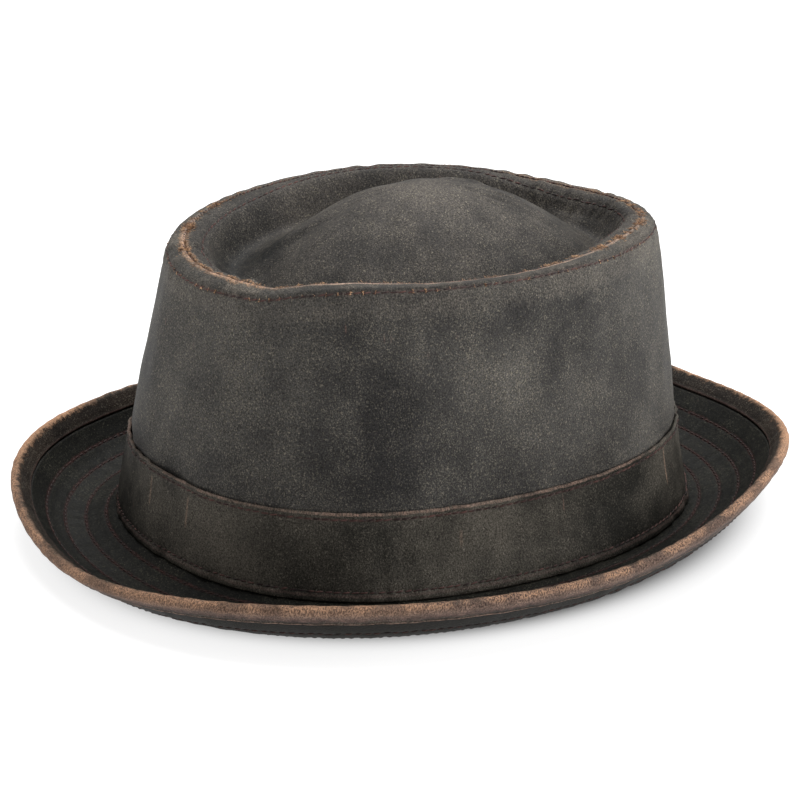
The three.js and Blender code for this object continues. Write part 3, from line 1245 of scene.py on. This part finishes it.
class Yarn(Enum):
    """The finishes of thread and fibre."""

    THREAD = PlainThread("oxblood_thread", srgb(34, 22, 22), srgb(92, 64, 59))
    BRIM_THREAD = PlainThread("dark_thread", srgb(27, 17, 16), srgb(64, 42, 38))
    FIBRE = PlainThread("frayed_fibre", srgb(96, 66, 48), srgb(212, 172, 134), 700)


# Sub-assemblies


class Dresser:
    """Gives pieces their finish and their body."""

    def __init__(self) -> None:
        """Starts with no material made."""
        self.made: dict[str, bpy.types.Material] = {}

    def dress(
        self, piece: bpy.types.Object, finish: Cloth | Yarn, slot: str, stands_for: str = ""
    ) -> None:
        """Finishes a piece and hands it to the frame.

        Args:
            piece: The piece.
            finish: Its finish.
            slot: The material slot of the record; not used.
            stands_for: The node that it replaces, if any.
        """
        key = finish.value.name
        if key not in self.made:
            self.made[key] = finish.value.build()
        piece.data.materials.clear()
        piece.data.materials.append(self.made[key])
        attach(piece, BODY)
        if stands_for:
            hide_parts(stands_for)
        piece.data.calc_loop_triangles()
        log.info("%s: %d triangles", piece.name, len(piece.data.loop_triangles))

    def roll(self, node: str, sheet: Sheet, ring: np.ndarray, finish: Cloth) -> None:
        """Rolls a cloth that stands for one node of the solids.

        Args:
            node: The node, which the cloth is named after.
            sheet: Rings of the cloth.
            ring: A ring that is as long as the pattern of the cloth.
            finish: Its finish, which has the name of its slot.
        """
        piece = roll_cloth(f"{node}_cloth", sheet, girth_of(ring))
        self.dress(piece, finish, finish.value.name, node)


def girth_of(ring: np.ndarray) -> float:
    """Returns the length of a closed ring."""
    return float(np.linalg.norm(np.roll(ring, -1, 0) - ring, axis=-1).sum())


@dataclass
class Crown:
    """The crown: its side with the rolled rim, and its tip with the crease and the dome."""

    stations: Stations
    dresser: Dresser
    wall_rows: int = 34
    rim_rows: int = 22
    tip_rows: int = 34
    dome_rows: int = 30
    outer_stitch: float = 6.6 * MM
    side_fade: float = 24 * MM
    tip_fade: float = 21 * MM
    ends: tuple[float, float] = (55 * MM, 78 * MM)
    groove: float = 0.35 * MM
    groove_width: float = 0.7 * MM
    puff: float = 0.15 * MM
    pucker: float = 0.1 * MM
    outer_pucker: float = 0.22 * MM
    inner_pucker: float = 0.45 * MM
    tug_reach: float = 2.5 * MM
    rim_length: float = 18 * MM
    tip_length: float = 26 * MM
    lip: float = 0.4 * MM
    lip_reach: tuple[float, float] = (1.1 * MM, 0.9 * MM)
    ramp: float = 1.6 * MM
    ramp_reach: tuple[float, float] = (9.5 * MM, 4 * MM)
    soft_turns: int = 50
    soft_place: tuple[float, float] = (232, 52)
    soft_reach: tuple[float, float] = (25 * MM, 13 * MM)
    dent: float = 0.4 * MM
    low_dent: float = 0.1 * MM
    sheets: dict[str, Sheet] = field(default_factory=dict)

    def build(self) -> None:
        """Builds the cloths, the seams and the frayed fibres of the crown."""
        self.build_side()
        self.build_tip()
        self.build_seams()

    def build_side(self) -> None:
        """Rolls the side wall up to the ridge seam."""
        st, wall = self.stations, self.stations.shape.crown_wall
        low = np.array([st.wall(level) for level in np.linspace(0, 1, 12)])
        high = np.array([st.wall(level) for level in np.linspace(1, 2, 30)[1:]])
        rim = np.array([st.rim(share) for share in np.linspace(0, 1, 40)[1:]])
        raw = Sheet.spread(np.concatenate([low, high, rim]), 300, 0.9 * MM)
        length = Sheet.lengths(raw)
        total = length[-1].mean()
        turn = 1 - self.rim_length / total
        wall_part = np.linspace(0, turn, self.wall_rows)
        rim_part = np.linspace(turn, 1 - wall / 2 / total, self.rim_rows)[1:]
        picks = np.concatenate([wall_part, rim_part]) * (len(raw) - 1)
        face, along = between(raw, picks), length[-1] - between(length, picks)
        self._settle(face, along, self.outer_stitch, OUTER_LIFT, self.side_fade)
        face[..., 2] += self.lip * hump(along, *self.lip_reach) * st.facing(NEAR_SIDE)
        face += self._push(face)[..., None] * st.out
        relief = self._relief(face, along, self.outer_stitch, self.outer_pucker, 11)
        face = face + relief * Sheet.normals(face)
        self.sheets["side"] = Sheet.lined(face, along, wall, (0, 1))
        self.dresser.roll("crown_side", self.sheets["side"], st.band_top, Cloth.CROWN)

    def _push(self, face: np.ndarray) -> np.ndarray:
        """Returns how far the side bulges at the front and at the back of the hat."""
        st, height = self.stations, face[..., 2]
        turn = np.degrees(st.angle) % 360
        push = 0.0
        for bulge, place, width in ((FRONT_BULGE, LEFT_END, 38), (BACK_BULGE, RIGHT_END, 34)):
            push = push + np.interp(height / MM, *zip(*bulge)) * hump(turn, place, width)
        return smoothstep(height - st.band_top[:, 2], 0, 5 * MM) * push * MM

    def _relief(
        self, face: np.ndarray, along: np.ndarray, stitch: Value, end_pucker: float, seed: int
    ) -> np.ndarray:
        """Gives the heights that seams, puckers and soft dents add to a face.

        Args:
            face: Rings of the face.
            along: Distances from the ridge seam.
            stitch: Distance of the topstitch from the seam.
            end_pucker: Height of the puckers at the front and the back of the hat.
            seed: Start of the random waves.

        Returns:
            Heights, rows by places by one.
        """
        angle = self.stations.angle[None, :]
        roll = hump(along, stitch / 2, 0.45 * stitch)
        fine = Ripple(seed, 6 * MM, 20 * MM, 0.46, 0.25).at(angle, along)
        broad = Ripple(seed + 1, 35 * MM, 120 * MM, 0.5, 0.5, 16).at(angle, along)
        middling = Ripple(seed + 2, 12 * MM, 30 * MM, 0.5, 0.5).at(angle, along)
        inner = smoothstep(along, stitch, stitch + 12 * MM)
        tug = hump(along, stitch + self.tug_reach, self.tug_reach)
        ends = smoothstep(np.abs(face[..., 1]), *self.ends)
        pucker = self.pucker + (end_pucker - self.pucker) * ends
        height = self.puff * (1 + ends) * roll + pucker * (roll + 0.6 * tug) * fine
        height -= self.groove * hump(along, stitch, self.groove_width)
        height += inner * (self.dent * broad + self.low_dent * middling)
        return height[..., None]

    def _settle(
        self, face: np.ndarray, along: np.ndarray, stitch: Value, lift: Unevenness, fade: float
    ) -> None:
        """Lets the worn rim sag and tilt, in place.

        Args:
            face: Rings of the face.
            along: Distances from the ridge seam.
            stitch: Distance of the topstitch from the seam.
            lift: How much higher the topstitch lies.
            fade: Distance from the seam where the rim ends.
        """
        angle = self.stations.angle
        held = 1 - smoothstep(along, stitch, fade)
        face[..., 2] += held * (RIDGE_SAG.at(angle) + smoothstep(along, 0, stitch) * lift.at(angle))

    def build_tip(self) -> None:
        """Rolls the tip from the ridge seam over the crease to the top of the dome."""
        st, wall = self.stations, self.stations.shape.crown_wall
        start = st.ridge - st.shape.seam_gap / 2 * st.out
        rim, steps = [], np.linspace(0, 1, 8)[1:]
        for (i0, d0), (i1, d1) in zip(RIM_SECTION, RIM_SECTION[1:]):
            rim += [st.tip(i0 + t * (i1 - i0), d0 + t * (d1 - d0)) for t in steps]
        dome = [st.dome(share) for share in np.linspace(1, 0, 60)[1:]]
        raw = Sheet.spread(np.array([start, *rim, *dome]), 400, 1.3 * MM)
        length = Sheet.lengths(raw)
        total = length[-1].mean()
        turn = self.tip_length / total
        rim_part = np.linspace(wall / 2 / total, turn, self.tip_rows)
        dome_part = 1 - (1 - turn) * np.linspace(1, 0, self.dome_rows) ** 1.15
        picks = np.concatenate([rim_part, dome_part[1:]]) * (len(raw) - 1)
        face, along = between(raw, picks), between(length, picks)
        stitch = INNER_SEAM.at(st.angle)
        self._settle(face, along, stitch, INNER_LIFT, self.tip_fade)
        ends = hump(np.abs(np.sin(st.angle)), 1, 0.35)
        face[..., 2] -= self.ramp * hump(along, *self.ramp_reach) * ends
        soft = face.copy()
        for _ in range(self.soft_turns):
            soft[1:-1] = (soft[:-2] + 2 * soft[1:-1] + soft[2:]) / 4
        front = hump(np.degrees(st.angle) % 360, *self.soft_place) * hump(along, *self.soft_reach)
        face = face + front[..., None] * (soft - face)
        centre = smoothstep(length[-1] - along, 2 * MM, 30 * MM)[..., None]
        relief = self._relief(face, along, stitch, self.inner_pucker, 31)
        face = face + centre * relief * Sheet.normals(face)
        face[-1] = face[-1].mean(0)
        self.sheets["tip"] = Sheet.lined(face, along, wall, (1, None))
        self.dresser.roll("crown_tip", self.sheets["tip"], st.ridge, Cloth.TIP)

    def build_seams(self) -> None:
        """Sews the two topstitched rows and the ridge seam, and frays their cloth."""
        st = self.stations
        outer = self.sheets["side"].trace(self.outer_stitch)
        inner = self.sheets["tip"].trace(INNER_SEAM.at(st.angle))
        ridge = st.ridge.copy()
        ridge[:, 2] += RIDGE_SAG.at(st.angle)
        top = (ridge, np.broadcast_to(UP, ridge.shape))
        holes = Fray(9, 260, 0.8 * MM, 0.13 * MM, 0.3 * MM, HOLE_FRAY, 0.3, 3.8 * MM)
        outer_row = StitchRow(2.9 * MM, 0.27 * MM, 0.92, 10, seed=3)
        inner_row = StitchRow(2.9 * MM, 0.26 * MM, 0.86, 8, seed=4)
        ridge_row = StitchRow(1.9 * MM, 0.34 * MM, 1.0, 30, 0.35 * MM, 5)
        for name, seam, line, yarn in (
            ("rim_outer_stitches", outer_row, outer, Yarn.THREAD),
            ("needle_hole_fray", holes, outer, Yarn.FIBRE),
            ("rim_inner_stitches", inner_row, inner, Yarn.THREAD),
            ("ridge_seam_stitches", ridge_row, top, Yarn.THREAD),
            ("ridge_fray", Fray(7), top, Yarn.FIBRE),
        ):
            self.dresser.dress(seam.lay(name, *line), yarn, "crown_cloth")


@dataclass(frozen=True)
class Fray:
    """Loose fibres that stand out of a worn seam.

    Attributes:
        seed: Start of the random choices.
        count: How many fibres there are.
        length: Their usual length.
        radius: Their half thickness.
        spread: How far beside the seam they start.
        dense: How densely they grow at places round the hat.
        rise: How steeply they stand up.
        step: Distance between the needle holes in which they stand, or 0 where they stand anywhere.
    """

    seed: int
    count: int = 4200
    length: float = 1.2 * MM
    radius: float = 0.055 * MM
    spread: float = 1.9 * MM
    dense: Unevenness = RIDGE_FRAY
    rise: float = 0.5
    step: float = 0.0

    def lay(self, name: str, line: np.ndarray, up: np.ndarray) -> bpy.types.Object:
        """Grows fibres along a line.

        Args:
            name: Name of the piece.
            line: The seam.
            up: Directions in which the cloth faces on it.

        Returns:
            The fibres as one piece.
        """
        rng = np.random.default_rng(self.seed)
        places = len(line)
        weight = self.dense.at(np.arctan2(line[:, 1], line[:, 0])) / MM
        turns = TURN * np.arange(places) / places
        clumps = Ripple(self.seed, 4 * MM, 30 * MM, girth_of(line)).at(turns, 0.0)
        weight = weight * np.clip(0.5 + clumps, 0.04, 3.0)
        at = rng.choice(places, self.count, p=weight / weight.sum()) + rng.uniform(0, 1, self.count)
        if self.step:
            pitch = self.step / girth_of(line) * places
            at = np.rint(at / pitch) * pitch % places
        share = at - np.floor(at)
        at = np.floor(at).astype(int)
        ahead = np.roll(line, -1, 0) - line
        tangent = unit(ahead)[at]
        centre = line[at] + share[:, None] * ahead[at]
        up = unit(up[at] - (up[at] * tangent).sum(-1, keepdims=True) * tangent)
        out = np.cross(tangent, up)
        single = (self.count, 1)
        side = rng.normal(0, 0.45, single)
        centre += self.spread * (side * out - 0.25 * np.abs(side) * up) + 0.1 * MM * up
        way = out * np.where(side < 0, -1, 1) * rng.uniform(0.2, 1, single)
        lift = rng.uniform(0.0, self.rise, single)
        front = unit(way + tangent * rng.normal(0, 0.6, single) + lift * up)
        across = unit(np.cross(up, front))
        scale = rng.uniform(0.4, 1.3, single)
        above = np.cross(front, across)
        strand = Strand(self.length, self.radius, 0.16 * self.length, 3, 3, 0.3)
        centre += 0.3 * self.length * scale * front
        frames = np.stack([front * scale, across, above * scale, centre], 1)
        return copy_strands(name, strand, frames)


@dataclass
class Band:
    """The plain band with its folded, topstitched edges."""

    stations: Stations
    dresser: Dresser
    rows: int = 40
    top_stitch: float = 1.9 * MM
    low_stitch: float = 3.3 * MM
    proud: float = 0.8 * MM
    puff: float = 0.3 * MM
    groove: float = 0.3 * MM
    crease: float = 0.3 * MM
    dent: float = 0.18 * MM
    low_dent: float = 0.05 * MM
    deepest: float = 0.35 * MM
    loose_side: float = 290

    def build(self) -> None:
        """Builds the band and its two rows of stitches."""
        st, shape = self.stations, self.stations.shape
        distance = shape.seam_gap + shape.band_wall
        levels = np.linspace(0.02, 0.98, self.rows)
        face = np.array([st.wall(level) + distance * st.out for level in levels])
        face[..., 2] += self.proud * st.facing(self.loose_side) * levels[:, None] ** 3
        height = Sheet.lengths(face)
        total = height[-1].mean() + shape.band_wall
        along = total - height - shape.band_wall / 2
        angle = st.angle[None, :]
        low = total - self.low_stitch
        fine = Ripple(51, 6 * MM, 16 * MM, 0.56, 0.2).at(angle, along)
        broad = Ripple(52, 25 * MM, 90 * MM, 0.56, 0.1, 14).at(angle, along)
        relief = self.puff * hump(along, self.top_stitch / 2, 1.0 * MM) * (1 + 0.4 * fine)
        relief += self.puff * hump(along, (total + low) / 2, 1.4 * MM) * (1 + 0.5 * fine)
        for stitch, width in ((self.top_stitch, 0.5 * MM), (low, 0.6 * MM)):
            relief -= self.groove * hump(along, stitch, width)
        relief += self.dent * broad + self.low_dent * fine
        creases = Ripple(53, 9 * MM, 40 * MM, 0.56, 0.06, 20).at(angle, along)
        relief += self.crease * np.maximum(np.abs(creases) - 1.2, 0) * np.sign(creases)
        face = face + np.maximum(relief, -self.deepest)[..., None] * Sheet.normals(face)
        sheet = Sheet.lined(face, along, shape.band_wall, (1, 1))
        self.dresser.roll("hat_band", sheet, st.band_top, Cloth.BAND)
        for name, at, seed in (("top", self.top_stitch, 6), ("low", low, 8)):
            row = StitchRow(2.9 * MM, 0.3 * MM, 0.9, 9, seed=seed)
            sewn = row.lay(f"band_{name}_stitches", *sheet.trace(at))
            self.dresser.dress(sewn, Yarn.THREAD, "band_cloth")


@dataclass
class Brim:
    """The turned-up brim with its stitched rows and its bound edge."""

    stations: Stations
    dresser: Dresser
    rows: int = 52
    groove: float = 0.3 * MM
    groove_width: float = 0.75 * MM
    ripple: float = 0.09 * MM
    edge_free: float = 0.5 * MM
    thread_room: float = 0.4 * MM
    hem: tuple[tuple[float, float], ...] = ((0.1 * MM, 0.6 * MM), (0.25 * MM, 0.35 * MM))
    fold: float = 0.2 * MM
    tuck_at: float = 1.6 * MM
    tuck: float = 0.25 * MM
    binding_ripple: float = 0.06 * MM

    def build(self) -> None:
        """Builds the brim, its stitched rows and its binding."""
        self.build_brim()
        self.build_binding()

    def _quilt(self, distance: float, under: bool) -> np.ndarray:
        """Returns how much the stitched rows lift a face at one distance."""
        at = np.full((1, self.stations.count), distance)
        ripple = Ripple(61 if under else 62, 4 * MM, 10 * MM, 0.62, 0.1)
        fine = ripple.at(self.stations.angle[None, :], at)[0]
        height = self.ripple * fine
        for row in BRIM_ROWS:
            sunk = hump(at[0], row, self.groove_width)
            height = height - self.groove * sunk * (1 + 0.25 * fine)
        return -height if under else height

    def build_brim(self) -> None:
        """Builds the stitched cloth, thinner inside the binding."""
        st, shape = self.stations, self.stations.shape
        middle = shape.brim_wall / 2
        half = middle + shape.binding_proud
        bound_half = half - shape.binding_wall - shape.seam_gap
        start = shape.brim_width - shape.binding_width
        end = shape.brim_width - half - shape.seam_gap
        collar = shape.crown_wall + shape.seam_gap + shape.band_wall
        open_part = np.concatenate([[-collar, -collar / 2], np.linspace(0, start, self.rows)])
        bound = np.linspace(start, end, 5)
        rings, along, inside = [], [], []
        for distances, below, under in (
            (open_part, shape.brim_wall, True),
            (bound, middle + bound_half, True),
            (bound[::-1], middle - bound_half, False),
            (open_part[::-1], 0.0, False),
        ):
            for distance in distances:
                ring = st.brim(distance, below)
                if 0 < distance < start - self.edge_free:
                    ring[:, 2] += self._quilt(distance, under)
                if under:
                    ring[:, 2] = np.maximum(ring[:, 2], 0)
                rings.append(ring)
                along.append(np.full(st.count, distance))
                inside.append(float(under))
        sheet = Sheet(np.array(rings), np.array(along), np.array(inside))
        self.dresser.roll("brim", sheet, st.brim(shape.brim_width / 2, 0), Cloth.BRIM)
        for i, at in enumerate(BRIM_ROWS):
            for name, under in (("upper", False), ("under", True)):
                line, normal = sheet.trace(at, under)
                row = StitchRow(3.0 * MM, 0.28 * MM, 0.84, 6, seed=70 + 2 * i + under)
                if under:
                    line[:, 2] = np.maximum(line[:, 2], self.thread_room)
                sewn = row.lay(f"brim_{name}_row_{i + 1}", line, normal)
                self.dresser.dress(sewn, Yarn.BRIM_THREAD, "brim_cloth")

    def build_binding(self) -> None:
        """Folds the binding over the edge of the brim."""
        st, shape = self.stations, self.stations.shape
        middle = shape.brim_wall / 2
        half = middle + shape.binding_proud
        slot = half - shape.binding_wall
        nose = shape.brim_width - half
        start = shape.brim_width - shape.binding_width + shape.seam_gap
        outer = [(start + ahead, half - down) for ahead, down in self.hem]
        outer += [(distance, half) for distance in np.linspace(start + 0.5 * MM, nose, 9)]
        turns = np.radians(np.linspace(-90, 90, 13))[1:-1]
        bend = [(nose + half * math.cos(t), -half * math.sin(t)) for t in turns]
        back = [(distance, -below) for distance, below in outer[::-1]]
        first = start + self.fold
        lining = [(first, -slot), (nose, -slot), (nose + slot, 0.0), (nose, slot), (first, slot)]
        section = [*outer, *bend, *back, *lining]
        folds = len(outer) + len(bend) + len(back)
        strides = [math.dist(a, b) for a, b in zip(section[: folds - 1], section[1:folds])]
        arc = np.cumsum([0, *strides])
        rings = np.array([st.brim(distance, middle + below) for distance, below in section])
        rows = np.minimum(np.arange(len(section)), folds - 1)
        along = np.repeat(arc[rows, None], st.count, 1)
        fine = Ripple(81, 5 * MM, 14 * MM, 0.7, 0.2).at(st.angle[None, :], along[:folds])
        relief = self.binding_ripple * fine
        for at in (self.tuck_at, arc[-1] - self.tuck_at):
            relief = relief - self.tuck * hump(along[:folds], at, 0.5 * MM)
        rings[:folds] += relief[..., None] * Sheet.normals(rings[:folds])
        sheet = Sheet(rings, along, (np.arange(len(section)) >= folds).astype(float))
        self.dresser.roll("brim_binding", sheet, st.brim(shape.brim_width, 0), Cloth.BINDING)


# Stage


@dataclass
class Studio:
    """A plain pale floor, soft light and the camera."""

    azimuth: float = 55.937
    elevation: float = 19.843
    roll: float = 0.259
    distance: float = 1237.883 * MM
    focal: float = 3628.635
    frame_size: float = 800
    centre: tuple[float, float] = (409.368, 360.84)
    aim: tuple[float, float, float] = (0.0, -0.4 * MM, 54.7 * MM)
    light_aim: tuple[float, float, float] = (0.0, 0.0, 0.05)
    sensor: float = 36.0
    # Half sizes of the oval of painted shadow on the floor under the hat
    hat_half: tuple[float, float] = (0.118, 0.139)
    floor_glow: float = 0.82
    room: float = 0.3

    def build(self) -> None:
        """Sets the floor, the lights and the camera."""
        self.build_floor()
        self.build_lights()
        self.build_camera()

    def build_floor(self) -> None:
        """Lays a pale floor that glows as a light table does, with a painted contact shadow: its
        glow fades under the hat.
        """
        deselect()
        bpy.ops.mesh.primitive_plane_add(size=12, location=(0, 0, -0.0002))
        floor = bpy.context.object
        floor.name = "floor"
        graph = Graph("pale_floor")
        tone = graph.noise(graph.place(), 3, 1)
        colour = graph.mix(tone, (0.38, 0.38, 0.38, 1), (0.4, 0.4, 0.4, 1))
        # Painted contact shadow: the glow fades towards black inside an oval under the hat.
        oval = graph.stretched(graph.place(), (1 / self.hat_half[0], 1 / self.hat_half[1], 0))
        under = graph.smooth(graph.distance(oval, (0, 0, 0)), 1.0, 0.8)
        glow_with_painted_shadow = graph.mix(under * under, (1, 1, 1, 1), (0, 0, 0, 1))
        fixed = {
            "Specular IOR Level": 0.0,
            "Emission Color": glow_with_painted_shadow,
            "Emission Strength": self.floor_glow,
        }
        material = graph.finish(colour, 0.8 + 0.05 * tone, 0.0, fixed)
        floor.data.materials.append(material)

    def build_lights(self) -> None:
        """Hangs soft boxes over a bright room."""
        world = bpy.data.worlds.new("bright_room")
        bpy.context.scene.world = world
        world.use_nodes = True
        background = world.node_tree.nodes["Background"]
        background.inputs["Color"].default_value = (1, 1, 1, 1)
        background.inputs["Strength"].default_value = self.room
        boxes = (
            ("top_box", (-0.5, 0.5, 1.6), 1.7, 40.0),
            ("right_box", (1.2, 1.45, 0.8), 1.2, 22.0),
            ("near_right_box", (1.7, 0.4, 0.5), 0.8, 8.0),
            ("left_box", (-1.5, -1.3, 0.45), 0.9, 8.0),
        )
        for name, place, size, power in boxes:
            light = bpy.data.lights.new(name, "AREA")
            light.shape, light.size, light.energy = "DISK", size, power
            lamp = bpy.data.objects.new(name, light)
            way = Vector(self.light_aim) - Vector(place)
            lamp.location = place
            lamp.rotation_euler = way.to_track_quat("-Z", "Y").to_euler()
            bpy.context.scene.collection.objects.link(lamp)

    def build_camera(self) -> None:
        """Places the camera."""
        a, e, r = (math.radians(x) for x in (self.azimuth, self.elevation, self.roll))
        back = Vector((math.sin(a) * math.cos(e), -math.cos(a) * math.cos(e), math.sin(e)))
        right = Vector((math.cos(a), math.sin(a), 0))
        up = back.cross(right)
        turned = right * math.cos(r) + up * math.sin(r)
        upright = up * math.cos(r) - right * math.sin(r)
        data = bpy.data.cameras.new("camera")
        data.sensor_width, data.lens = self.sensor, self.focal * self.sensor / self.frame_size
        half = self.frame_size / 2
        data.shift_x = (half - self.centre[0]) / self.frame_size
        data.shift_y = (self.centre[1] - half) / self.frame_size
        camera = bpy.data.objects.new("camera", data)
        place = Matrix((turned, upright, back)).transposed().to_4x4()
        place.translation = Vector(self.aim) + self.distance * back
        camera.matrix_world = place
        bpy.context.scene.collection.objects.link(camera)
        bpy.context.scene.camera = camera


def main() -> None:
    """Builds the hat and its stage."""
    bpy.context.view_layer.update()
    low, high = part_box("crown_side")
    set_back = (low.y + high.y) / 2
    log.info("set back %.3f mm", set_back / MM)
    stations = Stations(HatShape(), 480, set_back)
    dresser = Dresser()
    Crown(stations, dresser).build()
    Band(stations, dresser).build()
    Brim(stations, dresser).build()
    Studio().build()
    bpy.context.scene.view_settings.view_transform = "Standard"


if __name__ == "__main__":
    main()
